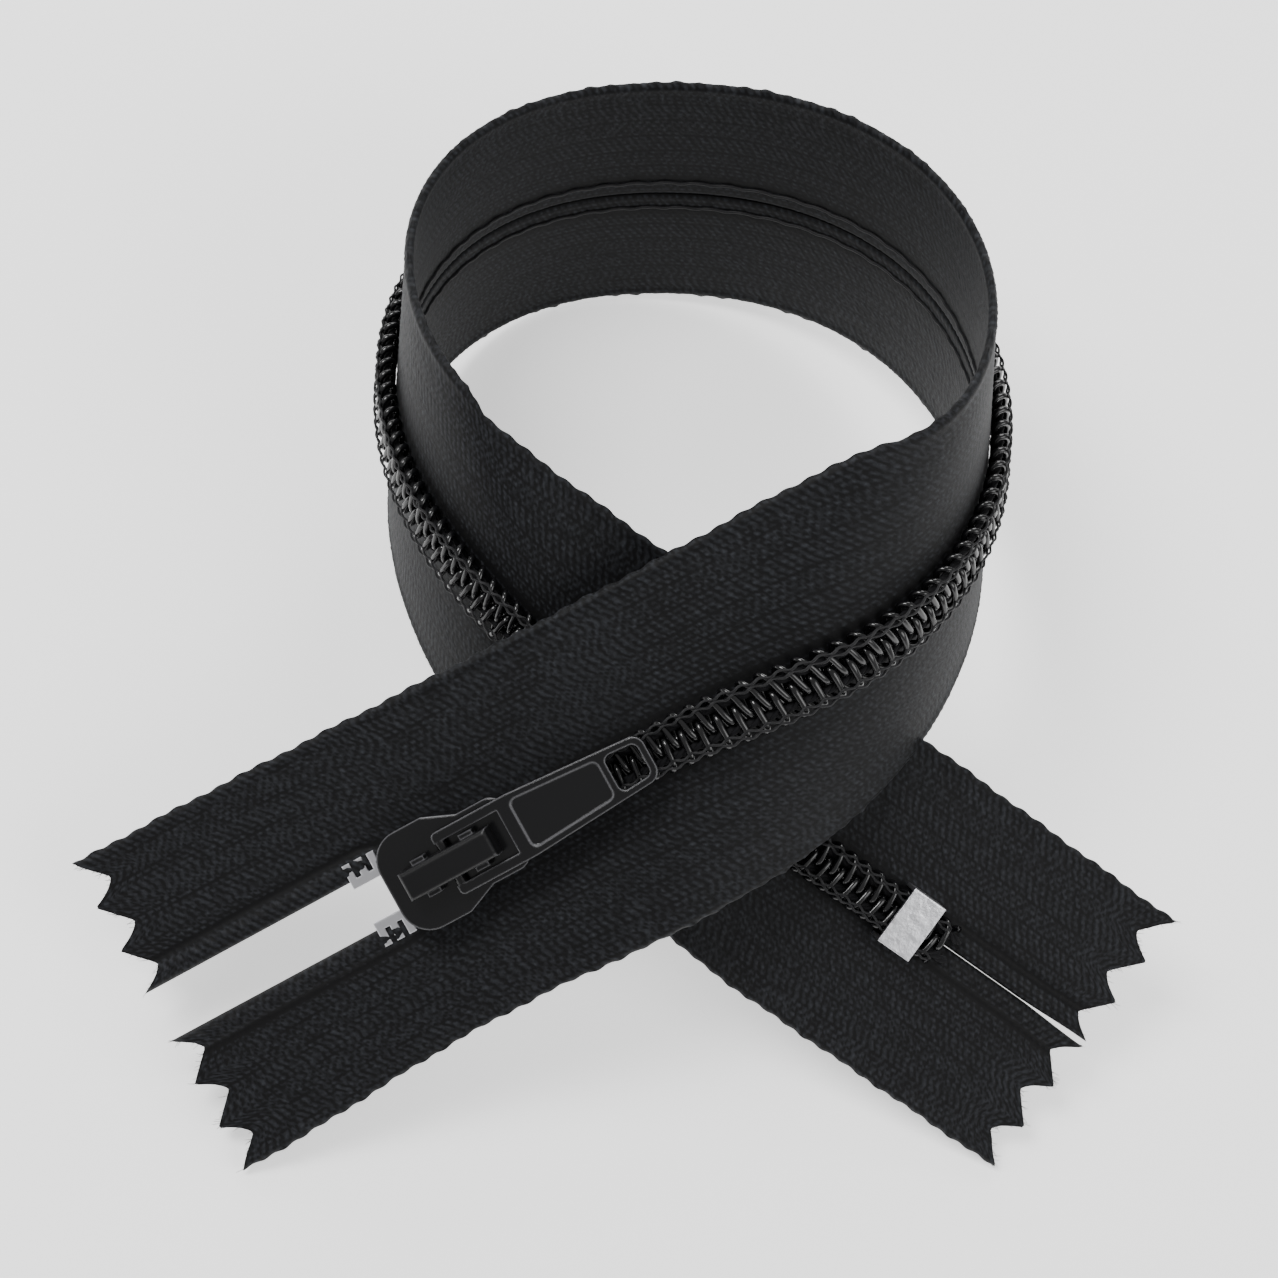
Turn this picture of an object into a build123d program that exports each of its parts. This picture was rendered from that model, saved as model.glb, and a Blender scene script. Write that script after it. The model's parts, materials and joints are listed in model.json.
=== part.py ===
from build123d import *
import math
import os

# Closed-end coil zipper, fastened and bent round into a loop so that its two ends cross.
# Millimetres. Flat layout: x runs along the chain from the middle of the loop, with the slider
# end at negative x; y runs across the two tapes; n stands out of the coil side of the tapes.

# ---------------------------------------------------------------- driving dimensions
half_length = 125.0            # middle of the loop to either pinked end
tape_reach = 12.45             # centre line to the outer selvedge of a tape
tape_thickness = 0.5
tape_edge_gap = 1.7            # between the inner edges of the two tapes, under the chain
spread = 1.25                  # how far each tape stands off sideways past the slider
spread_length = 8.0            # length over which an inner edge moves out by the spread
closed_end_gap = 0.3           # between the tapes past the bottom stop
closing_length = 5.0
end_teeth = 3                  # of each pinked end
tooth_depth = 2.3
tooth_lean = 0.59              # share of a tooth taken by its straight flank
tooth_hollow = 0.4             # sagitta of its hollow flank

chain_width = 4.1              # over both coils
coil_height = 1.6
coil_corner = 0.4
coil_gap = 0.1                 # between the two coils on the centre line
coil_to_tape = 0.1
coil_wall = 0.45
core_clearance = 0.05
thread_width = 0.32
thread_height = 0.1
thread_from_heel = 0.65        # sewing line, in from the outer edge of a coil

# the loop
back_curvature = 0.0136        # of the centre line, per millimetre
leg_curvature_change = 0.0181
shoulder_curvature = 0.0330    # added at the two shoulders of the loop
shoulder_place = 15.9
shoulder_length = 18.8
bend_scale = 50.0              # length at which the change terms count in full
straight_from = 84.0           # both ends are flat beyond here
ease_length = 22.0             # the bend fades out over this length
slant_middle = -0.0179         # of the ruling lines, for each millimetre across
slant_rate = -0.00118          # its growth per millimetre along the chain
slant_lean = 4.7e-6            # per square millimetre
slant_growth = 3.92e-6         # per cubic millimetre
slant_held_from = 72.0
edge_bend = -0.00154           # sideways bend of the tapes, per millimetre
edge_bend_lean = 0.00134
edge_bend_change = 0.00139
layer_rise = 0.3               # gap between the crossing ends for each millimetre of tape reach

# slider: its own x runs from its wide front to the fastened chain, from its middle
slider_place = 97.4            # middle of the loop to the middle of the slider
slider_length = 11.0
slider_clearance = 0.25
slider_wall = 0.7
slot_half_height = 0.5
plate_thickness = 0.8
front_corner = 2.4
tail_corner = 1.2
divider_length = 3.6
shoulder_end = 0.66            # ahead of the slider's middle, where its sides begin to draw in
tail_start = 1.925             # behind the middle, where they are parallel again
parting_place = 0.55           # behind the middle, where the two coils begin to part
divider_clearance = 0.25       # to the coils it parts
crown_length = 7.6
crown_width = 2.3
crown_wall = 0.45
crown_edge = 0.36              # radius of the roof's edges
lug_place = 2.1                # of the lugs, from the middle of the slider
lug_length = 1.1
lug_reach = 0.4
lug_height = 1.2
spring_width = 1.1
spring_thickness = 0.22
pawl_length = 0.5
pawl_travel = 0.35
pawl_clearance = 0.12
pawl_gap = 0.2                 # from the raised pawl's tip to the coils

tab_length = 17.2              # pivot to tip
tab_thickness = 0.8
tab_eye_width = 3.6
tab_eye_length = 5.0
tab_arm = 0.8
tab_tip_width = 3.7
tab_tip_corner = 1.0
tab_bar = 1.1
tab_rim = 0.55
tab_panel_depth = 0.15
tab_window_length = 2.7
pivot_lift = 0.3               # bottom of the pivot bar over the slider's plate
pivot_clearance = 0.08
contact_gap = 0.05             # between pieces that touch

top_stop_length = 2.8
top_stop_width = 2.0
stop_wall = 0.4
stop_clearance = 0.04
stop_fingers = 3
finger_gap = 0.45
finger_length = 1.3
bottom_stop_place = 106.0
bottom_stop_length = 3.1
bottom_stop_width = 5.1
bottom_stop_wall = 0.32
coil_tail = 2.2                # of each coil past the bottom stop

step = 0.5                     # of the integration along the centre line
section_spacing = 4.0          # of the lofted sections
spread_sections = 8            # closer ones, where the coils part
back_reach = 40                # the loop's lowest point is within this, either way from its middle

# ---------------------------------------------------------------- sizes that follow
tape_top = tape_thickness / 2
tape_inner = tape_edge_gap / 2
coil_low = tape_top + coil_to_tape
coil_top = coil_low + coil_height
thread_top = coil_top + contact_gap + thread_height
layer_gap = thread_top + tape_top + layer_rise * tape_reach
coil_inner = coil_gap / 2
coil_outer = chain_width / 2
thread_y = coil_outer - thread_from_heel
slider_front = -slider_place - slider_length / 2
spread_start = parting_place - slider_place
top_stop_near = slider_front - slider_clearance
top_stop_far = top_stop_near - top_stop_length
coil_from = top_stop_near + stop_clearance
coil_to = bottom_stop_place + bottom_stop_length / 2 + coil_tail
plate_low = coil_top + slider_clearance
plate_top = plate_low + plate_thickness
pivot_radius = tab_thickness / 2
pivot_height = plate_top + pivot_lift + pivot_radius
tab_rest_angle = math.degrees(math.atan2(pivot_lift - contact_gap, slider_length / 2))
spring_low = pivot_height + pivot_radius + contact_gap
crown_roof = spring_low + spring_thickness + pawl_travel + core_clearance
pawl_place = crown_length / 2 - crown_wall - pawl_clearance - pawl_length / 2
last_step = math.ceil((half_length + 2 * tape_reach) / step)
contact_rounds = 4
ruling_rounds = 30
divider_steps = 6
same_place = 1e-4


def fade(share):
    """Smooth rise from 0 to 1 as share goes from 0 to 1."""
    held = min(max(share, 0.0), 1.0)
    return held * held * (3 - 2 * held)


# ---------------------------------------------------------------- the loop
def curvature(s):
    """Bend of the centre line at a length s from the middle of the loop."""
    away = abs(s)
    shoulder = math.exp(-(((away - shoulder_place) / shoulder_length) ** 2))
    bend = back_curvature + leg_curvature_change * (away / bend_scale) ** 2
    bend += shoulder_curvature * shoulder
    return bend * (1 - fade((away - straight_from + ease_length) / ease_length))


def slant(s):
    """Length that a ruling line runs along the chain for each unit across it."""
    held = min(max(s, -slant_held_from), slant_held_from)
    return slant_middle + slant_rate * held + slant_lean * held**2 + slant_growth * held**3


def sideways_bend(s):
    """Bend within the tapes' own surface."""
    share = s / bend_scale
    window = max(1 - (s / straight_from) ** 4, 0.0)
    return (edge_bend + edge_bend_lean * share + edge_bend_change * share**2) * window


def layer_offset(s):
    """The slider end passes outside the other end where they cross."""
    share = min(max(s / straight_from, -1.0), 1.0)
    return -layer_gap / 2 * share * (3 - share * share) / 2


def walk(way):
    """Frames (place, along, across, out) at each step from the middle of the loop, one way."""
    place = Vector(0, 0, 0)
    along = Vector(-1, 0, 0)
    across = Vector(0, 0, 1)
    out = Vector(0, 1, 0)
    frames = [(place, along, across, out)]
    for i in range(last_step):
        s = way * (i + 0.5) * step
        bend = curvature(s)
        turn = across * bend - along * (bend * slant(s)) - out * sideways_bend(s)
        half_way = along
        if turn.length > 0:
            axis = Axis((0, 0, 0), turn)
            angle = math.degrees(turn.length * step) * way
            half_way = along.rotate(axis, angle / 2)
            along, across, out = (v.rotate(axis, angle) for v in (along, across, out))
        place = place + half_way * (step * way)
        frames.append((place, along, across, out))
    return frames


frames_ahead = walk(1)
frames_behind = walk(-1)


def frame_at(s):
    """Frame at any length s, straight between the nearest two steps."""
    frames = frames_ahead if s >= 0 else frames_behind
    where = min(abs(s) / step, last_step - 1e-9)
    i = int(where)
    part = where - i
    return [a * (1 - part) + b * part for a, b in zip(frames[i], frames[i + 1])]


def on_ruling(s, y, n):
    """Point on the ruling line through s, at y across and n out."""
    place, along, across, out = frame_at(s)
    return place - along * (slant(s) * y) + across * y + out * (n + layer_offset(s))


def on_layout(x, y, n):
    """Point of the bent zipper that lies at x, y, n in the flat layout."""
    s = x
    for _ in range(ruling_rounds):
        s = x + y * slant(s)
    place, along, across, out = frame_at(s)
    return place + along * (x - s) + across * y + out * (n + layer_offset(s))


def end_plane(way):
    """Plane of one flat end. Its local x and y are those of the flat layout."""
    place, along, across, out = frame_at(way * straight_from)
    origin = place - along * (way * straight_from) + out * layer_offset(way * straight_from)
    return Plane(origin=origin, x_dir=along, z_dir=out)


top_plane = end_plane(-1)
bottom_plane = end_plane(1)
slider_plane = Plane(
    origin=top_plane.from_local_coords((-slider_place, 0, 0)),
    x_dir=top_plane.x_dir,
    z_dir=top_plane.z_dir,
)


def lowest(points, up):
    """The point that lies furthest down."""
    return min(points, key=lambda p: p.dot(up))


def table_plane():
    """The surface that the loop stands on: it meets the lower rim of the loop's back and the
    lower corner of each end. Its origin is under the middle of the zipper's box."""
    faces = (-tape_top, tape_top)
    back = [on_layout(x, -tape_reach, n) for x in range(-back_reach, back_reach + 1) for n in faces]
    corners = []
    for x, y in ((-half_length, -tape_reach - spread), (half_length, -tape_reach)):
        corners.append([on_layout(x, y, n) for n in faces])
    up = Vector(0, 0, 1)
    for _ in range(contact_rounds):
        heel, left, right = (lowest(points, up) for points in (back, *corners))
        up = (left - heel).cross(right - heel).normalized()
    right_hand = (Vector(1, 0, 0) - up * up.X).normalized()
    flat = Plane(origin=(0, 0, 0), x_dir=right_hand, z_dir=up)
    rims = []
    for i in range(round(-half_length), round(half_length) + 1):
        rims += [flat.to_local_coords(on_layout(i, y, n)) for y in (-tape_reach, tape_reach) for n in faces]
    middle_x = (min(p.X for p in rims) + max(p.X for p in rims)) / 2
    middle_y = (min(p.Y for p in rims) + max(p.Y for p in rims)) / 2
    under = flat.from_local_coords((middle_x, middle_y, min(p.Z for p in rims)))
    return Plane(origin=under, x_dir=right_hand, z_dir=up)


table = table_plane()


# ---------------------------------------------------------------- building blocks
def curved_tape(y_low, y_high, n_low, n_high):
    """The bent part of a tape, between the last ruling lines of the two bends."""
    count = round(2 * straight_from / section_spacing)
    sections = []
    for i in range(count + 1):
        s = straight_from * (2 * i / count - 1)
        corners = [(y_low, n_low), (y_high, n_low), (y_high, n_high), (y_low, n_high)]
        sections.append(Wire.make_polygon([on_ruling(s, y, n) for y, n in corners], close=True))
    return Solid.make_loft(sections)


def ruling_x(way, y):
    """Where the last ruling line of a bend crosses a line along the tape at y."""
    return way * straight_from - slant(way * straight_from) * y


def inner_shift(x):
    """Sideways shift of a tape's inner edge, and of its coil, towards the open end."""
    return spread * fade((spread_start - x) / spread_length)


def stations(x_from, x_to):
    """Places of the sections of a bar that runs along the chain, closer where it spreads."""
    places = [x_from]
    while places[-1] < x_to - section_spacing:
        spreading = places[-1] < spread_start
        places.append(places[-1] + (spread_length / spread_sections if spreading else section_spacing))
    return places + [x_to]


def laid_bar(side, outline, x_from, x_to):
    """Bar along the chain on one side, with its (y, n) outline shifted as the coil is."""
    sections = []
    for x in stations(x_from, x_to):
        shift = inner_shift(x)
        corners = [on_layout(x, side * (y + shift), n) for y, n in outline]
        sections.append(Wire.make_polygon(corners, close=True))
    return Solid.make_loft(sections)


def box_outline(y_low, y_high, n_low, n_high):
    return [(y_low, n_low), (y_high, n_low), (y_high, n_high), (y_low, n_high)]


def eased(x_from, y_from, x_to, y_to):
    """Curve that leaves and arrives along x, as fade does."""
    third = (x_to - x_from) / 3
    return Bezier((x_from, y_from), (x_from + third, y_from), (x_to - third, y_to), (x_to, y_to))


def flat_solid(plane, edges, n_low, n_high):
    """Closed run of edges in a plane, given thickness between two heights above it."""
    face = make_face(edges).face()
    return Solid.extrude(plane * Pos(0, 0, n_low) * face, plane.z_dir * (n_high - n_low))


def joined(*pieces):
    """One solid from pieces that meet face to face. The faces they share drop out."""
    faces = [face for piece in pieces for face in piece.faces()]
    skin = []
    for face in faces:
        twins = [f for f in faces if (f.center() - face.center()).length < same_place]
        if len(twins) == 1:
            skin.append(face)
    return Solid(Shell(skin))


def block(x_low, x_high, y_low, y_high, z_low, z_high):
    middle = ((x_low + x_high) / 2, (y_low + y_high) / 2, (z_low + z_high) / 2)
    return Pos(*middle) * Box(x_high - x_low, y_high - y_low, z_high - z_low)


# ---------------------------------------------------------------- tapes
def pinked_edge(x, way, y_outer, y_inner):
    """Zigzag from the outer to the inner corner: one flank straight, the next one hollow."""
    pitch = (y_inner - y_outer) / end_teeth
    edges = []
    for i in range(end_teeth):
        tip = (x, y_outer + pitch * i)
        notch = (x - way * tooth_depth, y_outer + pitch * (i + tooth_lean))
        next_tip = (x, y_outer + pitch * (i + 1))
        hollow_x = x - way * (tooth_depth / 2 + tooth_hollow)
        hollow_y = y_outer + pitch * (i + (1 + tooth_lean) / 2)
        edges.append(Line(tip, notch))
        edges.append(ThreePointArc(notch, (hollow_x, hollow_y), next_tip))
    return edges


def tape(side):
    """One woven tape: the bent part and its two flat ends, in one piece."""
    inner, outer = side * tape_inner, side * tape_reach
    bent = curved_tape(min(inner, outer), max(inner, outer), -tape_top, tape_top)

    open_inner, open_outer = inner + side * spread, outer + side * spread
    spread_end = spread_start - spread_length
    seam = [(ruling_x(-1, outer), outer), (ruling_x(-1, inner), inner)]
    top_edges = [
        Line(seam[1], (spread_start, inner)),
        eased(spread_start, inner, spread_end, open_inner),
        Line((spread_end, open_inner), (-half_length, open_inner)),
        *pinked_edge(-half_length, -1, open_outer, open_inner),
        eased(*seam[0], -half_length, open_outer),
        Line(*seam),
    ]
    top_end = flat_solid(top_plane, top_edges, -tape_top, tape_top)

    closed = side * closed_end_gap / 2
    closed_from = coil_to + closing_length
    seam = [(ruling_x(1, outer), outer), (ruling_x(1, inner), inner)]
    bottom_edges = [
        Line(seam[1], (coil_to, inner)),
        eased(coil_to, inner, closed_from, closed),
        Line((closed_from, closed), (half_length, closed)),
        *pinked_edge(half_length, 1, outer, closed),
        Line((half_length, outer), seam[0]),
        Line(*seam),
    ]
    bottom_end = flat_solid(bottom_plane, bottom_edges, -tape_top, tape_top)
    bottom_end -= bottom_plane * stop_leg_slot(side)
    return joined(bent, top_end, bottom_end)


def stop_leg_slot(side):
    """Slit that a leg of the bottom stop passes through."""
    half = bottom_stop_length / 2 + stop_clearance
    near = bottom_stop_width / 2 - bottom_stop_wall - stop_clearance
    far = bottom_stop_width / 2 + stop_clearance
    low, high = sorted((side * near, side * far))
    return block(bottom_stop_place - half, bottom_stop_place + half, low, high, -coil_top, coil_top)


# ---------------------------------------------------------------- chain
def coil(side):
    """Envelope of one coil, with the bore that its filler cord lies in."""
    c = coil_corner
    outline = [
        (coil_inner + c, coil_low),
        (coil_outer - c, coil_low),
        (coil_outer, coil_low + c),
        (coil_outer, coil_top - c),
        (coil_outer - c, coil_top),
        (coil_inner + c, coil_top),
        (coil_inner, coil_top - c),
        (coil_inner, coil_low + c),
    ]
    return laid_bar(side, outline, coil_from, coil_to) - laid_bar(side, bore_outline(0), coil_from, coil_to)


def bore_outline(inset):
    """Outline of the bore of a coil, drawn in by a clearance."""
    wall = coil_wall + inset
    return box_outline(coil_inner + wall, coil_outer - wall, coil_low + wall, coil_top - wall)


def core_cord(side):
    return laid_bar(side, bore_outline(core_clearance), coil_from, coil_to)


def sewing_thread(side):
    """The thread's line over the coil and its line on the back of the tape."""
    y_low, y_high = thread_y - thread_width / 2, thread_y + thread_width / 2
    top_low = coil_top + contact_gap
    back_high = -tape_top - contact_gap
    over = box_outline(y_low, y_high, top_low, top_low + thread_height)
    under = box_outline(y_low, y_high, back_high - thread_height, back_high)
    return Compound([laid_bar(side, o, coil_from, coil_to) for o in (over, under)])


def top_stop(side):
    """Clamp folded round a tape's inner edge, with its upper side cut into fingers."""
    edge = tape_inner + inner_shift(top_stop_near)
    room = tape_top + stop_clearance
    web = edge - stop_clearance - stop_wall
    shell = block(top_stop_far, top_stop_near, web, web + top_stop_width, -room - stop_wall, room + stop_wall)
    shell -= block(top_stop_far, top_stop_near, web + stop_wall, web + 2 * top_stop_width, -room, room)
    finger = (top_stop_length - (stop_fingers - 1) * finger_gap) / stop_fingers
    reach = web + top_stop_width
    for i in range(1, stop_fingers):
        x = top_stop_far + i * finger + (i - 1) * finger_gap
        shell -= block(x, x + finger_gap, reach - finger_length, reach, room, room + 2 * stop_wall)
    return top_plane * (shell if side > 0 else mirror(shell, Plane.XZ))


def bottom_stop():
    """Staple clamp round both coils and through both tapes."""
    half = bottom_stop_length / 2
    wide = bottom_stop_width / 2
    room = contact_gap + thread_height + stop_clearance
    low, high = -tape_top - room, coil_top + room
    x_low, x_high = bottom_stop_place - half, bottom_stop_place + half
    wall = bottom_stop_wall
    shell = block(x_low, x_high, -wide, wide, low - wall, high + wall)
    shell -= block(x_low, x_high, wall - wide, wide - wall, low, high)
    return bottom_plane * shell


# ---------------------------------------------------------------- slider
def slider_outline():
    """Plan of the slider: wide rounded shoulders in front, narrower behind."""
    half = slider_length / 2
    wall = slider_clearance + slider_wall
    front = coil_outer + inner_shift(slider_front) + wall
    rear = coil_outer + wall
    side = [(-half, front), (-shoulder_end, front), (tail_start, rear), (half, rear)]
    points = side + [(x, -y) for x, y in reversed(side)]
    face = make_face(Polyline(*points, close=True)).face()
    shoulders = [v for v in face.vertices() if v.X < same_place - half]
    face = fillet(shoulders, front_corner).face()
    tails = [v for v in face.vertices() if v.X > half - same_place]
    return fillet(tails, tail_corner).face()


def slider_channel():
    """Plan of the passage for the coils: one chain behind, two spread coils in front."""
    half = slider_length / 2
    reach = coil_outer + slider_clearance
    start = spread_start + slider_place
    edges = [Line((half, -reach), (half, reach))]
    edges += [Line((half, reach), (start, reach)), Line((half, -reach), (start, -reach))]
    far = start - spread_length
    edges += [eased(start, side * reach, far, side * (reach + spread)) for side in (1, -1)]
    edges += [Line((far, -reach - spread), (far, reach + spread))]
    return make_face(edges)


def slider_body():
    """Two plates joined by the divider in front, with side walls that hold the coils in."""
    half = slider_length / 2
    outline = slider_outline()
    lower = Pos(0, 0, -slot_half_height - plate_thickness) * extrude(outline, plate_thickness)
    upper = Pos(0, 0, slot_half_height) * extrude(outline, plate_top - slot_half_height)
    upper -= Pos(0, 0, slot_half_height) * extrude(slider_channel(), plate_low - slot_half_height)
    flank = []
    for i in range(divider_steps + 1):
        x = slider_clearance - half + divider_length * i / divider_steps
        flank.append((x, coil_inner + inner_shift(x - slider_place) - divider_clearance))
    flank += [(x, -y) for x, y in reversed(flank)]
    post = make_face(Polyline(*flank, close=True))
    divider = Pos(0, 0, -slot_half_height) * extrude(post, plate_low + slot_half_height)
    body = lower + upper + divider
    hole_x = pawl_length / 2 + pawl_clearance
    hole_y = spring_width / 2 + pawl_clearance
    hole = block(-hole_x, hole_x, -hole_y, hole_y, plate_low, plate_top)
    return body - Pos(pawl_place, 0, 0) * hole


def crown():
    """Cover over the lock spring, standing on the upper plate, with four side lugs."""
    half, wide = crown_length / 2, crown_width / 2
    shell = block(-half, half, -wide, wide, plate_top, crown_roof + crown_wall)
    roof_edges = shell.faces().sort_by(Axis.Z)[-1].edges()
    shell = fillet(roof_edges, min(crown_edge, crown_wall))
    reach = wide + lug_reach
    for x in (-lug_place, lug_place):
        low, high = x - lug_length / 2, x + lug_length / 2
        shell += block(low, high, -reach, reach, plate_top, plate_top + lug_height)
    inner = wide - crown_wall
    shell -= block(crown_wall - half, half - crown_wall, -inner, inner, plate_top, crown_roof)
    window = pivot_radius + pivot_clearance
    shell -= block(-window, window, -wide, wide, plate_top, pivot_height + window)
    return shell


def lock_spring():
    """Leaf under the crown that lies on the tab's pivot, with its pawl turned down behind."""
    inner = crown_length / 2 - crown_wall - pawl_clearance
    wide = spring_width / 2
    leaf = block(-inner, inner, -wide, wide, spring_low, spring_low + spring_thickness)
    long = pawl_length / 2
    pawl = block(-long, long, -wide, wide, coil_top + pawl_gap, spring_low + spring_thickness)
    return leaf + Pos(pawl_place, 0, 0) * pawl


def pull_tab():
    """Tapered tab with an eye round the crown, a sunk panel each side and a window at its tip."""
    arm_reach = tab_eye_width / 2 + tab_arm
    tip_reach = tab_tip_width / 2
    eye_end = tab_eye_length + tab_bar
    side = [(-pivot_radius, arm_reach), (eye_end, arm_reach), (tab_length, tip_reach)]
    points = side + [(x, -y) for x, y in reversed(side)]
    face = make_face(Polyline(*points, close=True)).face()
    face = fillet([v for v in face.vertices() if v.X > tab_length - same_place], tab_tip_corner).face()
    face = fillet([v for v in face.vertices() if v.X < 0], pivot_radius).face()
    half = tab_thickness / 2
    tab = Pos(0, 0, -half) * extrude(face, tab_thickness)
    eye = tab_eye_width / 2
    tab -= block(-2 * pivot_radius, tab_eye_length, -eye, eye, -half, half)
    tab += Rot(90, 0, 0) * Cylinder(pivot_radius, tab_eye_width + tab_arm)

    def reach_at(x):
        share = (x - eye_end) / (tab_length - eye_end)
        return arm_reach + (tip_reach - arm_reach) * share - tab_rim

    window_end = tab_length - tab_rim
    window_start = window_end - tab_window_length
    panel_end = window_start - tab_rim
    hollows = ((eye_end, panel_end, tab_panel_depth), (window_start, window_end, tab_thickness))
    for x_low, x_high, depth in hollows:
        side = [(x_low, reach_at(x_low)), (x_high, reach_at(x_high))]
        points = side + [(x, -y) for x, y in reversed(side)]
        hollow = make_face(Polyline(*points, close=True)).face()
        hollow = fillet(hollow.vertices(), tab_rim)
        for low in {half - depth, -half}:
            tab -= Pos(0, 0, low) * extrude(hollow, depth)
    return Pos(0, 0, pivot_height) * Rot(0, tab_rest_angle, 0) * tab


# ---------------------------------------------------------------- the nodes
nodes = {
    "tape_left": tape(1),
    "tape_right": tape(-1),
    "coil_left": coil(1),
    "coil_right": coil(-1),
    "core_cord_left": core_cord(1),
    "core_cord_right": core_cord(-1),
    "sewing_thread_left": sewing_thread(1),
    "sewing_thread_right": sewing_thread(-1),
    "top_stop_left": top_stop(1),
    "top_stop_right": top_stop(-1),
    "bottom_stop": bottom_stop(),
    "slider_body": slider_plane * slider_body(),
    "crown": slider_plane * crown(),
    "lock_spring": slider_plane * lock_spring(),
    "pull_tab": slider_plane * pull_tab(),
}

os.makedirs("parts", exist_ok=True)
for name, shape in nodes.items():
    export_step(table.to_local_coords(shape), f"parts/{name}.step")
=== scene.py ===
import bpy
import json
import math
import random
import numpy as np
from mathutils import Matrix, Vector


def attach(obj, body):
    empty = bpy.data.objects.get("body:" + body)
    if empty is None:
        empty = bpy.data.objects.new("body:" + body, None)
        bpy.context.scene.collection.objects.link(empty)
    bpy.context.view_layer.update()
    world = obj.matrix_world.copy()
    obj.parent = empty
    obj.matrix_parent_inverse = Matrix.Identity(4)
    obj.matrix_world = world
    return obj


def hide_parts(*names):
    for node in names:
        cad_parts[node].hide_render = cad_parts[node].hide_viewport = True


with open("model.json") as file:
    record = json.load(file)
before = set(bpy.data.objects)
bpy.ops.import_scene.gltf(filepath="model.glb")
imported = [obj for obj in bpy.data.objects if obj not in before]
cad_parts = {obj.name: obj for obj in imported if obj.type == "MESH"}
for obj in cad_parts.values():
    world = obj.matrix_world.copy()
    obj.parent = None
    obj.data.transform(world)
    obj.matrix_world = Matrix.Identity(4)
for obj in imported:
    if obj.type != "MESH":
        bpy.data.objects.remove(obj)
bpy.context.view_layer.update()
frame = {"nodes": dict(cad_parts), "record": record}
record = frame["record"]
random.seed(7)
rng = np.random.default_rng(7)
MM = 0.001

# ---------------------------------------------------------------- sizes
# Millimetres, as the solids have them.
half_length = 125.0
tape_reach = 12.45
tape_thickness = 0.5
tape_edge_gap = 1.7
spread = 1.25
spread_length = 8.0
closed_end_gap = 0.3           # only the loose fibres use it
end_teeth = 3
tooth_depth = 2.3
tooth_lean = 0.59
tooth_hollow = 0.4
chain_width = 4.1
coil_height = 1.6
back_curvature = 0.0136
leg_curvature_change = 0.0181
shoulder_curvature = 0.0330
shoulder_place = 15.9
shoulder_length = 18.8
bend_scale = 50.0
straight_from = 84.0
ease_length = 22.0
slant_middle = -0.0179
slant_rate = -0.00118
slant_lean = 4.7e-6
slant_growth = 3.92e-6
slant_held_from = 72.0
edge_bend = -0.00154
edge_bend_lean = 0.00134
edge_bend_change = 0.00139
layer_gap = 6.085
slider_place = 97.4
slider_length = 11.0
slider_clearance = 0.25
pivot_height = 3.65
bottom_stop_place = 106.0
bottom_stop_length = 3.1
coil_tail = 2.2
coil_to_tape = 0.1
parting_place = 0.55           # behind the slider's middle, where the coils begin to part

tape_top = tape_thickness / 2
tape_inner = tape_edge_gap / 2
coil_low = tape_top + coil_to_tape
coil_top = coil_low + coil_height
coil_from = -slider_place - slider_length / 2 - slider_clearance
coil_to = bottom_stop_place + bottom_stop_length / 2 + coil_tail
spread_start = parting_place - slider_place
STEP = 0.5                     # of the walk along the centre line
RULING_ROUNDS = 40
FLAT_PLACE = 100.0             # on the flat end that the slider stands on
LAST = math.ceil((half_length + 2 * tape_reach) / STEP)


def fade(share):
    held = np.clip(share, 0.0, 1.0)
    return held * held * (3 - 2 * held)


# ---------------------------------------------------------------- the bent ribbon
def curvature(s):
    away = abs(s)
    bend = back_curvature + leg_curvature_change * (away / bend_scale) ** 2
    bend += shoulder_curvature * math.exp(-(((away - shoulder_place) / shoulder_length) ** 2))
    return bend * (1 - fade((away - straight_from + ease_length) / ease_length))


def slant(s):
    held = np.clip(s, -slant_held_from, slant_held_from)
    return slant_middle + slant_rate * held + slant_lean * held**2 + slant_growth * held**3


def sideways_bend(s):
    share = s / bend_scale
    window = max(1 - (s / straight_from) ** 4, 0.0)
    return (edge_bend + edge_bend_lean * share + edge_bend_change * share**2) * window


def turned(vectors, turn, amount):
    """Vectors turned about the axis turn, by its length times amount."""
    size = np.linalg.norm(turn)
    if size == 0:
        return vectors
    u = turn / size
    a = size * amount
    k = np.array([[0, -u[2], u[1]], [u[2], 0, -u[0]], [-u[1], u[0], 0]])
    r = np.eye(3) + math.sin(a) * k + (1 - math.cos(a)) * (k @ k)
    return vectors @ r.T


def walk(way):
    """Rows of place, along, across and out at each step from the middle of the loop."""
    place = np.zeros(3)
    axes = np.array([[-1.0, 0, 0], [0, 0, 1], [0, 1, 0]])
    rows = [np.vstack([place, axes])]
    for i in range(LAST):
        s = way * (i + 0.5) * STEP
        bend = curvature(s)
        along, across, out = axes
        turn = across * bend - along * (bend * slant(s)) - out * sideways_bend(s)
        half_way = turned(axes[:1], turn, way * STEP / 2)[0]
        axes = turned(axes, turn, way * STEP)
        place = place + half_way * (STEP * way)
        rows.append(np.vstack([place, axes]))
    return rows


behind = walk(-1)
frames = np.array(behind[:0:-1] + walk(1))


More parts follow.
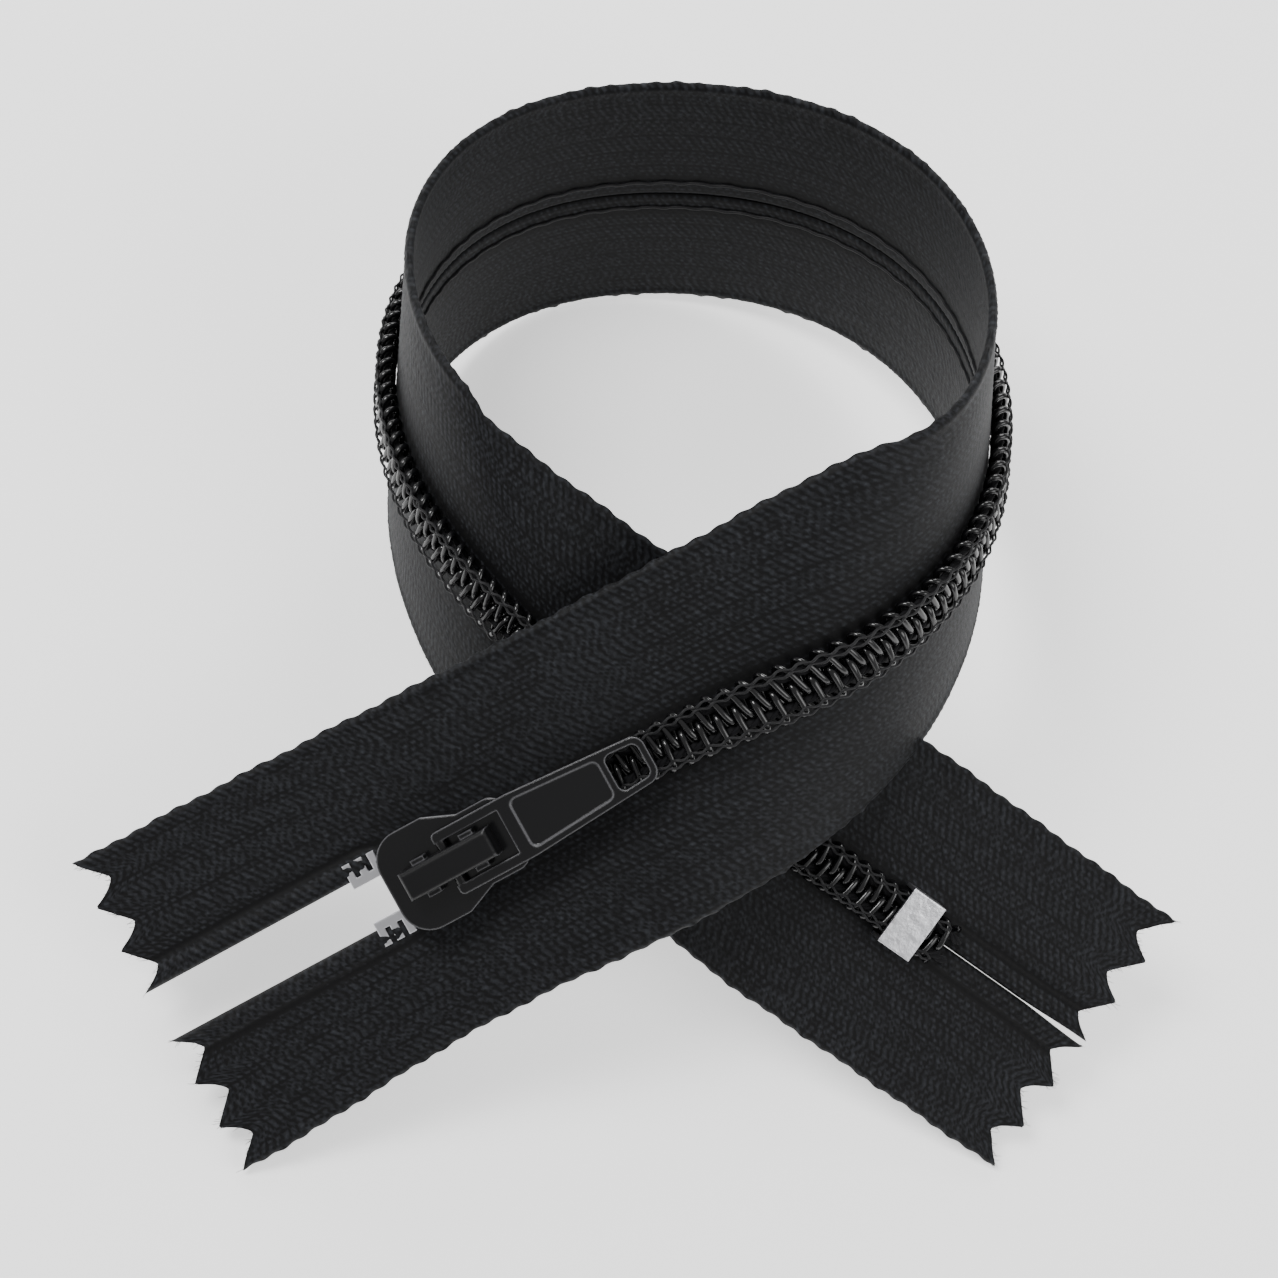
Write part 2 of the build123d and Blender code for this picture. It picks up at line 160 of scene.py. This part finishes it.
def bent(x, y, n):
    """Places, in the ribbon's own frame in millimetres, of flat-layout points."""
    s = np.array(x, float)
    for _ in range(RULING_ROUNDS):
        s = x + y * slant(s)
    where = np.clip(s / STEP + LAST, 0, 2 * LAST - 1e-6)  # stays inside the last pair of frames
    i = where.astype(int)
    part = (where - i)[:, None, None]
    rows = frames[i] * (1 - part) + frames[i + 1] * part
    share = np.clip(s / straight_from, -1, 1)
    lift = n - layer_gap / 2 * share * (3 - share * share) / 2
    ruled = rows[:, 1] * (x - s)[:, None] + rows[:, 2] * y[:, None] + rows[:, 3] * lift[:, None]
    return rows[:, 0] + ruled


joints = {j["name"]: j for j in record["behaviour"]["joints"]}
slide_axis = np.array(joints["slider_slide"]["axis"], float)
across_axis = -np.array(joints["pull_tab_hinge"]["axis"], float)
row_axes = np.array([slide_axis, across_axis, np.cross(slide_axis, across_axis)])
own_axes = frames[round(LAST - FLAT_PLACE / STEP)][1:]
TURN = row_axes.T @ own_axes
pivot_own = bent(np.array([-slider_place]), np.array([0.0]), np.array([pivot_height]))[0]
SHIFT = np.array(joints["pull_tab_hinge"]["pos_m"], float) - TURN @ pivot_own * MM


def in_row(points):
    """Row-frame metres from millimetres in the ribbon's own frame."""
    return points @ TURN.T * MM + SHIFT


def wrap(flat):
    """Row-frame places of an array of flat-layout (x, y, n)."""
    return in_row(bent(flat[:, 0], flat[:, 1], flat[:, 2]))


# ---------------------------------------------------------------- camera
camera_place = in_row(np.array([[-9.34, -172.34, 165.59]]))[0]
camera_forward = Vector(TURN @ np.array([0.03576, 0.59861, -0.80024])).normalized()
camera_up = Vector(TURN @ np.array([-0.05155, 0.80079, 0.59672])).normalized()
camera_right = camera_forward.cross(camera_up).normalized()
camera_up = camera_right.cross(camera_forward)
camera_data = bpy.data.cameras.new("camera")
camera_data.lens = 76.7
camera_data.sensor_width = 36.0
camera_data.clip_start = 0.01
camera = bpy.data.objects.new("camera", camera_data)
basis = Matrix((camera_right, camera_up, -camera_forward)).transposed().to_4x4()
camera.matrix_world = Matrix.Translation(Vector(camera_place)) @ basis
bpy.context.collection.objects.link(camera)
bpy.context.scene.camera = camera


# ---------------------------------------------------------------- materials
def shader(name, color, roughness, metallic=0.0, coat=0.0, sheen=0.0, specular=0.5):
    mat = bpy.data.materials.new(name)
    mat.use_nodes = True
    b = mat.node_tree.nodes["Principled BSDF"]
    b.inputs["Base Color"].default_value = (*color, 1)
    b.inputs["Roughness"].default_value = roughness
    b.inputs["Metallic"].default_value = metallic
    b.inputs["Coat Weight"].default_value = coat
    b.inputs["Coat Roughness"].default_value = 0.2
    b.inputs["Sheen Weight"].default_value = sheen
    b.inputs["Sheen Roughness"].default_value = 0.5
    b.inputs["Specular IOR Level"].default_value = specular
    return mat


def node(mat, kind, **inputs):
    made = mat.node_tree.nodes.new(kind)
    for key, value in inputs.items():
        made.inputs[key.replace("_", " ")].default_value = value
    return made


def link(mat, a, a_out, b, b_in):
    mat.node_tree.links.new(a.outputs[a_out], b.inputs[b_in])


def roughen(mat, scale, strength, distance, bevel=0.0):
    """Fine bump, over edges softened by bevel."""
    b = mat.node_tree.nodes["Principled BSDF"]
    place = node(mat, "ShaderNodeTexCoord")
    noise = node(mat, "ShaderNodeTexNoise", Scale=scale, Detail=3.0)
    bump = node(mat, "ShaderNodeBump", Strength=strength, Distance=distance)
    link(mat, place, "Object", noise, "Vector")
    link(mat, noise, "Fac", bump, "Height")
    if bevel:
        soft = mat.node_tree.nodes.new("ShaderNodeBevel")
        soft.samples = 6
        soft.inputs["Radius"].default_value = bevel
        link(mat, soft, "Normal", bump, "Normal")
    link(mat, bump, "Normal", b, "Normal")


def painted_edge_highlight(mat, radius, face, edge):
    """Base colour that pales where the surface turns within the radius: a painted highlight along the
    edges.
    """
    soft = node(mat, "ShaderNodeBevel", Radius=radius)
    soft.samples = 6
    flat = node(mat, "ShaderNodeNewGeometry")
    match = node(mat, "ShaderNodeVectorMath")
    match.operation = "DOT_PRODUCT"
    # ramp from the pale painted highlight colour on turned edges to the face colour on flat faces
    ramp = node(mat, "ShaderNodeValToRGB")
    ramp.color_ramp.elements[0].position = 0.8
    ramp.color_ramp.elements[0].color = (*edge, 1)
    ramp.color_ramp.elements[1].position = 0.995
    ramp.color_ramp.elements[1].color = (*face, 1)
    link(mat, soft, "Normal", match, 0)
    link(mat, flat, "Normal", match, 1)
    link(mat, match, "Value", ramp, "Fac")
    link(mat, ramp, "Color", mat.node_tree.nodes["Principled BSDF"], "Base Color")


def woven(name, face):
    """Black woven polyester: float height, carried by the mesh, lightens the raised yarns in the base
    colour as a painted highlight and darkens the hollows between them as painted shade; the noise adds
    random tone.
    """
    mat = shader(name, (0.01, 0.01, 0.012), 0.62, sheen=face, specular=0.18)
    b = mat.node_tree.nodes["Principled BSDF"]
    height = mat.node_tree.nodes.new("ShaderNodeAttribute")
    height.attribute_name = "float_height"
    place = node(mat, "ShaderNodeTexCoord")
    noise = node(mat, "ShaderNodeTexNoise", Scale=2600.0, Detail=5.0, Roughness=0.75)
    grain_and_float_shade = node(mat, "ShaderNodeMath")
    grain_and_float_shade.operation = "MULTIPLY"
    # near black on low floats is painted shade, dark grey on high floats a painted highlight
    ramp = node(mat, "ShaderNodeValToRGB")
    ramp.color_ramp.elements[0].position = 0.16
    ramp.color_ramp.elements[0].color = (0.0012, 0.0012, 0.0016, 1)
    ramp.color_ramp.elements[1].position = 0.6
    ramp.color_ramp.elements[1].color = (0.024, 0.026, 0.031, 1)
    bump = node(mat, "ShaderNodeBump", Strength=0.5, Distance=0.00006)
    link(mat, place, "Object", noise, "Vector")
    link(mat, height, "Fac", grain_and_float_shade, 0)
    link(mat, noise, "Fac", grain_and_float_shade, 1)
    link(mat, grain_and_float_shade, 0, ramp, "Fac")
    link(mat, ramp, "Color", b, "Base Color")
    link(mat, noise, "Fac", bump, "Height")
    link(mat, bump, "Normal", b, "Normal")
    return mat


tape_mat = woven("woven_tape", 0.03)
coil_mat = shader("coil_nylon", (0.003, 0.003, 0.0035), 0.2, coat=0.2)
roughen(coil_mat, 900, 0.12, 0.00004)
thread_mat = shader("sewing_thread", (0.005, 0.005, 0.006), 0.55, sheen=0.05, specular=0.3)
roughen(thread_mat, 5000, 0.6, 0.00005)
cord_mat = shader("filler_cord", (0.004, 0.004, 0.005), 0.8, sheen=0.04, specular=0.2)
roughen(cord_mat, 4000, 0.7, 0.00006)
fibre_mat = shader("loose_fibre", (0.01, 0.01, 0.012), 0.7, sheen=0.05)
bright_mat = shader("bright_metal", (0.7, 0.7, 0.73), 0.3, metallic=1.0)
roughen(bright_mat, 1400, 0.7, 0.00006, 0.00018)
lacquer_black = (0.0025, 0.0025, 0.003)
black_mat = shader("black_lacquer", lacquer_black, 0.2, coat=0.2, specular=0.35)
roughen(black_mat, 1100, 0.2, 0.00003, 0.0003)
# pale grey painted highlight along the lacquer's edges
painted_edge_highlight(black_mat, 0.00025, lacquer_black, (0.16, 0.16, 0.17))
crown_black = (0.003, 0.003, 0.0035)
crown_mat = shader("grey_plating", crown_black, 0.3, specular=0.35)
roughen(crown_mat, 1500, 0.25, 0.00004, 0.0003)
# pale grey painted highlight along the crown's edges
painted_edge_highlight(crown_mat, 0.0002, crown_black, (0.12, 0.12, 0.13))
spring_mat = shader("spring_steel", (0.4, 0.4, 0.42), 0.35, metallic=1.0)
roughen(spring_mat, 1500, 0.2, 0.00002)
for name, mat in {
    "top_stop_left": bright_mat,
    "top_stop_right": bright_mat,
    "bottom_stop": bright_mat,
    "slider_body": black_mat,
    "crown": crown_mat,
    "lock_spring": spring_mat,
    "pull_tab": black_mat,
}.items():
    for place in frame["nodes"][name].material_slots:
        place.material = mat


# ---------------------------------------------------------------- mesh helpers
def piece(name, verts, faces, mat, body, values=None):
    mesh = bpy.data.meshes.new(name)
    mesh.from_pydata([], [], [])
    mesh.vertices.add(len(verts))
    mesh.vertices.foreach_set("co", np.asarray(verts, np.float32).ravel())
    faces = np.asarray(faces, np.int32)
    mesh.loops.add(faces.size)
    mesh.loops.foreach_set("vertex_index", faces.ravel())
    mesh.polygons.add(len(faces))
    mesh.polygons.foreach_set("loop_start", np.arange(0, faces.size, faces.shape[1], dtype=np.int32))
    mesh.update(calc_edges=True)
    mesh.validate()
    mesh.polygons.foreach_set("use_smooth", np.ones(len(mesh.polygons), bool))
    if values is not None:
        held = mesh.attributes.new("float_height", "FLOAT", "POINT")
        held.data.foreach_set("value", np.asarray(values, np.float32))
    mesh.materials.append(mat)
    obj = bpy.data.objects.new(name, mesh)
    bpy.context.collection.objects.link(obj)
    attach(obj, body)
    return obj


def grid_faces(rows, columns, start=0, flip=False):
    i, j = np.meshgrid(np.arange(rows - 1), np.arange(columns - 1), indexing="ij")
    a = (i * columns + j).ravel() + start
    quad = [a, a + 1, a + columns + 1, a + columns]
    return np.stack(quad[::-1] if flip else quad, axis=1)


def tube(path, radius, sides=8):
    """Round bar along a flat-layout path, its ends closed by a square. One radius or one a point."""
    path = np.asarray(path, float)
    count = len(path)
    radius = np.broadcast_to(np.asarray(radius, float), (count,))
    ahead = np.gradient(path, axis=0)
    ahead /= np.linalg.norm(ahead, axis=1)[:, None]
    side = np.cross(ahead, np.array([0.31, 0.17, 0.94]))
    for i in range(count):
        if i:
            side[i] = side[i - 1] - ahead[i] * (side[i - 1] @ ahead[i])
        side[i] /= np.linalg.norm(side[i])
    up = np.cross(ahead, side)
    angle = np.linspace(0, 2 * math.pi, sides, endpoint=False)
    ring = side[:, None] * np.cos(angle)[None, :, None] + up[:, None] * np.sin(angle)[None, :, None]
    verts = (path[:, None] + ring * radius[:, None, None]).reshape(-1, 3)
    i, j = np.meshgrid(np.arange(count - 1), np.arange(sides), indexing="ij")
    a = (i * sides + j).ravel()
    b = (i * sides + (j + 1) % sides).ravel()
    faces = np.stack([a, b, b + sides, a + sides], axis=1)
    quarter = sides // 4
    caps = []
    for base, order in ((0, (3, 2, 1, 0)), ((count - 1) * sides, (0, 1, 2, 3))):
        caps.append([base + k * quarter for k in order])
    return verts, np.vstack([faces, caps])


def joined(parts):
    verts, faces, count = [], [], 0
    for v, f in parts:
        verts.append(v)
        faces.append(np.asarray(f) + count)
        count += len(v)
    return np.vstack(verts), np.vstack(faces)


def inner_shift(x):
    return spread * fade((spread_start - x) / spread_length)


# ---------------------------------------------------------------- woven tapes
WEAVE_STEP = 0.2
yarn_relief = 0.075
row_width = 1.72
float_length = 0.7
yarn_pitch = 0.43
pinked_blend = 6.0              # length over which the rows take up the pinked outline
ripple = 0.07                   # of the selvedge
ripple_length = 1.9
sway = 0.05
sway_length = 7.3
woven_gap = 0.03                # centre line to a tape's inner edge
end_slit = 0.22
slit_from = 117.5
slit_length = 7.0
rib_width = 1.75
rib_height = 0.42
braid_pitch = 1.5
braid_slope = 0.9
groove_offset = 0.3
groove_width = 0.28
groove_depth = 0.08
edge_round = 0.2
edge_width = 0.16
selvedge_height = 0.09
selvedge_place = 0.5
selvedge_width = 0.3


def tooth(share):
    """Depth of the pinked edge at a share of the way across the tape."""
    place = (share * end_teeth) % 1.0
    rising = tooth_depth * place / tooth_lean
    back = (1 - place) / (1 - tooth_lean)
    falling = tooth_depth * back + 4 * tooth_hollow * back * (1 - back)
    return np.where(place < tooth_lean, rising, np.minimum(falling, tooth_depth))


def tape(side, name):
    lines = round((tape_reach - tape_inner) / WEAVE_STEP) + 1
    rows = round(2 * half_length / WEAVE_STEP) + 1
    share = np.linspace(0, 1, lines)
    base_x = np.linspace(-half_length, half_length, rows)
    x = np.repeat(base_x[:, None], lines, axis=1)
    ends = tooth(share)
    for way in (-1, 1):
        depth = np.clip((way * x - (half_length - pinked_blend)) / pinked_blend, 0, 1)
        x = x - way * depth * ends[None, :]
    opening = fade((spread_start - x) / spread_length)
    inner = woven_gap + (tape_inner + spread - woven_gap) * opening
    inner = inner + end_slit * fade((x - slit_from) / slit_length)
    outer_from = -straight_from - slant(-straight_from) * side * tape_reach
    outer = tape_reach + spread * fade((outer_from - x) / (half_length + outer_from))
    wave = ripple * np.sin(2 * math.pi * x / ripple_length)
    wave = wave + sway * np.sin(2 * math.pi * x / sway_length + side)
    # share 0 is the selvedge and 1 the inner edge
    y = outer + wave * (1 - share[None, :]) ** 6 - (outer - inner) * share[None, :]
    across = y - inner
    column = np.floor(across / row_width)
    lean = np.where(column % 2 < 1, 1.0, -1.0)
    within = across / row_width - column
    stray = rng.normal(0, 0.14, (1, lines)) + 0.16 * np.sin(x / 9.7 + 5 * share[None, :])
    phase = x / float_length + lean * within * row_width / yarn_pitch * 0.5 + stray
    yarn = np.abs(np.sin(math.pi * phase)) ** 0.7
    row = np.abs(np.sin(math.pi * across / yarn_pitch)) ** 0.5
    height = yarn * (0.35 + 0.65 * row)
    height *= 1 - 0.55 * np.exp(-(((within - 0.5) * 2) ** 8 - 1) ** 2 * 6)
    height *= 0.55 + 0.6 * rng.random(height.shape)
    relief = yarn_relief * height
    bare = 1 - fade((x - coil_from + 1.5) / 3) * fade((coil_to + 1.5 - x) / 3)
    over_rib = np.clip(1 - ((across - rib_width / 2) / (rib_width / 2)) ** 2, 0, 1) ** 0.5
    turn = x / braid_pitch + np.abs(across - rib_width / 2) / braid_slope
    braid = 0.75 + 0.25 * np.abs(np.sin(math.pi * turn))
    groove = np.exp(-(((across - rib_width - groove_offset) / groove_width) ** 2))
    relief += bare * (rib_height * over_rib * braid - groove_depth * groove)
    # the groove beside the rib gets a darker colour value only, painted shade; the relief is already
    # set
    height *= 1 - 0.75 * groove
    edge = np.minimum(across, outer - y)
    round_off = edge_round * np.exp(-((edge / edge_width) ** 2))
    from_selvedge = (outer - y - selvedge_place) / selvedge_width
    selvedge = selvedge_height * np.exp(-(from_selvedge**2))
    top_n = tape_top + relief + selvedge - round_off
    low_n = -tape_top - relief - selvedge + round_off
    verts = []
    for n in (top_n, low_n):
        verts.append(np.stack([x.ravel(), side * y.ravel(), n.ravel()], axis=1))
    count = rows * lines
    faces = [grid_faces(rows, lines, 0, side < 0), grid_faces(rows, lines, count, side > 0)]
    rim = []
    loops = [
        np.arange(lines),
        np.arange(rows) * lines + lines - 1,
        np.arange(lines)[::-1] + (rows - 1) * lines,
        np.arange(rows)[::-1] * lines,
    ]
    for loop in loops:
        a, b = loop[:-1], loop[1:]
        quad = [a, b, b + count, a + count]
        rim.append(np.stack(quad if side < 0 else quad[::-1], axis=1))
    # colour values that the woven material turns into painted highlight on raised yarns and painted
    # shade in hollows
    values = np.concatenate([height.ravel(), height.ravel()])
    obj = piece(name, wrap(np.vstack(verts)), np.vstack(faces + rim), tape_mat, "chain", values=values)
    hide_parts(name.replace("woven_", ""))


# ---------------------------------------------------------------- coils, cords and threads
pitch = 1.36
wire = 0.255                    # radius of the monofilament
per_turn = 22
coil_head = -0.34               # how far a coil reaches past the centre line
turn_square = 0.72              # below 1 squares the turns
turn_lean = 0.115
head_swell = 0.075
strands_in_cord = 3
cord_twist = 2.1
cord_place = 0.98
strand_radius = 0.17
stitch_radius = 0.095
back_stitch_place = 1.45
back_stitch_radius = 0.13


def coil(side, name):
    turns = int((coil_to - coil_from) / pitch)
    t = np.arange(turns * per_turn + 1) / per_turn
    theta = 2 * math.pi * t
    heel = chain_width / 2 - wire
    c, s = np.cos(theta), np.sin(theta)
    reach = (heel - coil_head) / 2
    y = (heel + coil_head) / 2 + reach * np.sign(c) * np.abs(c) ** turn_square
    rise = coil_height / 2 - wire
    n = (coil_low + coil_top) / 2 + rise * np.sign(s) * np.abs(s) ** turn_square
    x = coil_from + wire + pitch * (t + turn_lean * s + (0.5 if side > 0 else 0.0))
    x = np.minimum(x, coil_to + 0.4)
    radius = wire + head_swell * ((1 - c) / 2) ** 5
    path = np.stack([x, side * (y + inner_shift(x)), n], axis=1)
    verts, faces = tube(path, radius, 8)
    obj = piece(name, wrap(verts), faces, coil_mat, "chain")
    return obj


def filler(side, name):
    x = np.arange(coil_from + 0.3, coil_to + 1.0, 0.25)
    strands = []
    for k in range(strands_in_cord):
        a = 2 * math.pi * (x / cord_twist + k / strands_in_cord)
        y = cord_place + 0.16 * np.cos(a)
        n = (coil_low + coil_top) / 2 + 0.12 * np.sin(a)
        strands.append(tube(np.stack([x, side * (y + inner_shift(x)), n], axis=1), strand_radius, 8))
    verts, faces = joined(strands)
    obj = piece(name, wrap(verts), faces, cord_mat, "chain")
    return obj


def stitches(side, name):
    """Two sewing threads over the coil, tied down between its turns, and one on the back."""
    parts = []
    x = np.arange(coil_from + 0.2, coil_to - 0.6, pitch / 10)
    a = 2 * math.pi * x / pitch
    for offset, lag in ((1.28, 0.0), (1.62, math.pi)):
        y = offset + 0.1 * np.sin(a + lag)
        n = coil_top - 0.02 + 0.09 * np.cos(a + lag)
        parts.append(tube(np.stack([x, side * (y + inner_shift(x)), n], axis=1), stitch_radius, 8))
    y = back_stitch_place + 0.07 * np.sin(a / 2)
    n = -tape_top - 0.08 - 0.05 * np.abs(np.sin(a / 2))
    parts.append(tube(np.stack([x, side * (y + inner_shift(x)), n], axis=1), back_stitch_radius, 8))
    verts, faces = joined(parts)
    obj = piece(name, wrap(verts), faces, thread_mat, "chain")
    return obj


def loose_fibres(side, name):
    """Short yarn ends standing out of the pinked edges."""
    parts = []
    for way in (-1, 1):
        for _ in range(70):
            share = random.random()
            open_out = spread if way < 0 else 0.0
            inner = tape_inner + open_out if way < 0 else closed_end_gap / 2
            y = tape_reach + open_out - (tape_reach + open_out - inner) * share
            x = way * (half_length - float(tooth(np.array([share]))[0]))
            size = random.uniform(0.25, 0.9)
            aim = random.uniform(-0.5, 0.5)
            lift = random.uniform(-0.35, 0.35)
            k = np.linspace(0, 1, 5)
            n = random.uniform(-0.15, 0.2) + size * lift * k**2
            path = np.stack([x + way * (size * k - 0.2), side * (y + size * aim * k**1.5), n], axis=1)
            parts.append(tube(path, 0.022 * (1 - 0.5 * k), 4))
    verts, faces = joined(parts)
    obj = piece(name, wrap(verts), faces, fibre_mat, "chain")


for side, word in ((1, "left"), (-1, "right")):
    visual_coil = coil(side, "spiral_" + word)
    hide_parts("coil_" + word)
    visual_cord = filler(side, "twisted_cord_" + word)
    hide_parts("core_cord_" + word)
    visual_thread = stitches(side, "stitches_" + word)
    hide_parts("sewing_thread_" + word)
    loose_fibres(side, "fibres_" + word)
    tape(side, "woven_tape_" + word)

# ---------------------------------------------------------------- stage and light
floor_mat = shader("floor_white", (0.9, 0.9, 0.9), 0.9, specular=0.05)
floor_shader = floor_mat.node_tree.nodes["Principled BSDF"]
floor_shader.inputs["Emission Color"].default_value = (1, 1, 1, 1)
floor_shader.inputs["Emission Strength"].default_value = 0.8
floor_mesh = bpy.data.meshes.new("floor")
reach = 3.0
floor_corners = [(-reach, -reach, 0), (reach, -reach, 0), (reach, reach, 0), (-reach, reach, 0)]
floor_mesh.from_pydata(floor_corners, [], [(0, 1, 2, 3)])
floor_mesh.materials.append(floor_mat)
floor = bpy.data.objects.new("floor", floor_mesh)
floor.location.z = -0.0003
bpy.context.collection.objects.link(floor)

world = bpy.data.worlds.new("world")
bpy.context.scene.world = world
world.use_nodes = True
world.node_tree.nodes["Background"].inputs["Color"].default_value = (1, 1, 1, 1)
world.node_tree.nodes["Background"].inputs["Strength"].default_value = 0.45


def area_light(name, place, size, power):
    data = bpy.data.lights.new(name, "AREA")
    data.energy = power
    data.size = size
    lamp = bpy.data.objects.new(name, data)
    lamp.location = place
    lamp.rotation_euler = (-Vector(place)).to_track_quat("-Z", "Y").to_euler()
    bpy.context.collection.objects.link(lamp)


area_light("key", (-0.25, 0.1, 0.45), 0.2, 2.2)
area_light("fill", (0.35, -0.2, 0.35), 0.35, 1.4)
area_light("back", (0.05, 0.45, 0.3), 0.25, 1.4)

bpy.context.view_layer.update()
